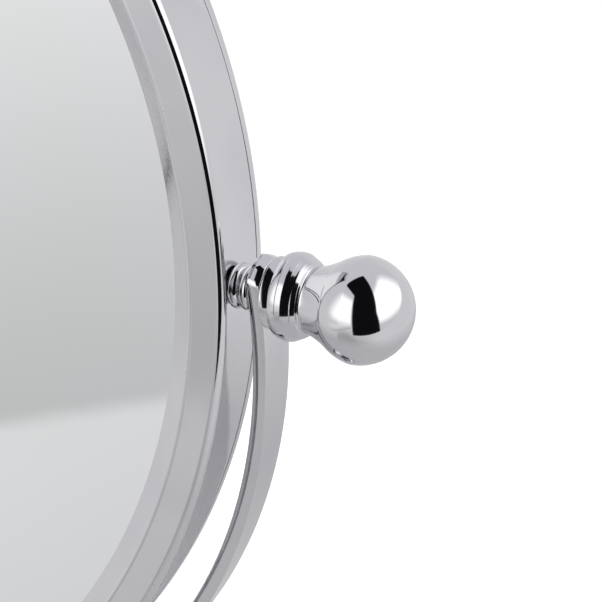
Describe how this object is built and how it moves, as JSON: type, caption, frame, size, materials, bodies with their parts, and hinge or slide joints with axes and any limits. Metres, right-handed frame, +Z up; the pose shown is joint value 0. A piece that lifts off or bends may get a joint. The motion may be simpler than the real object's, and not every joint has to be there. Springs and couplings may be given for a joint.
{
  "type": "countertop mirror",
  "caption": "Round countertop mirror with a flat and a magnifying face, tilting between ball knobs in a U-shaped yoke on a turned stem and round base.",
  "frame": {"origin": "centre of the underside of the foot pad", "axes": "+Z up, +X along the tilt axis to the user's right, -Y towards the user in front of the flat face"},
  "size_m": [0.2688, 0.15, 0.3319],
  "materials": {
    "polished_chrome": "bright polished plating",
    "silvered_glass": "silvered behind the glass",
    "plain_steel": "zinc plated",
    "cast_weight": "as cast, painted black",
    "felt": "pressed felt",
    "foam": "closed-cell foam",
    "pressed_board": "plain hardboard"
  },
  "bodies": {
    "stand": {"yoke": "polished_chrome", "yoke_saddle": "polished_chrome", "stem_column": "polished_chrome", "stem_foot": "polished_chrome", "stem_collar": "polished_chrome", "cap_nut": "polished_chrome", "tie_rod": "plain_steel", "base_shell": "polished_chrome", "foot_pad": "felt", "base_weight": "cast_weight", "base_washer": "plain_steel", "base_nut": "plain_steel", "base_sleeve": "plain_steel"},
    "mirror_head": {"front_glass": "silvered_glass", "front_pad": "foam", "backing_board": "pressed_board", "rear_ring": "foam", "front_bezel": "polished_chrome", "rear_glass": "silvered_glass", "rear_bezel": "polished_chrome", "rim_band": "polished_chrome", "pivot_plate_left": "plain_steel", "pivot_plate_right": "plain_steel", "pivot_stud_left": "plain_steel", "pivot_stud_right": "plain_steel", "spacer_left": "polished_chrome", "spacer_right": "polished_chrome"},
    "left_knob": {"knob_left": "polished_chrome", "knob_washer_left": "polished_chrome"},
    "right_knob": {"knob_right": "polished_chrome", "knob_washer_right": "polished_chrome"}
  },
  "joints": [
    {"name": "head_tilt", "type": "hinge", "parent": "stand", "child": "mirror_head", "pos_m": [0, 0, 0.225], "axis": [1, 0, 0], "continuous": true},
    {"name": "knob_turn_left", "type": "hinge", "parent": "mirror_head", "child": "left_knob", "pos_m": [-0.12, 0, 0.225], "axis": [-1, 0, 0], "range_deg": [0, 180]},
    {"name": "knob_turn_right", "type": "hinge", "parent": "mirror_head", "child": "right_knob", "pos_m": [0.12, 0, 0.225], "axis": [1, 0, 0], "range_deg": [0, 180]}
  ]
}
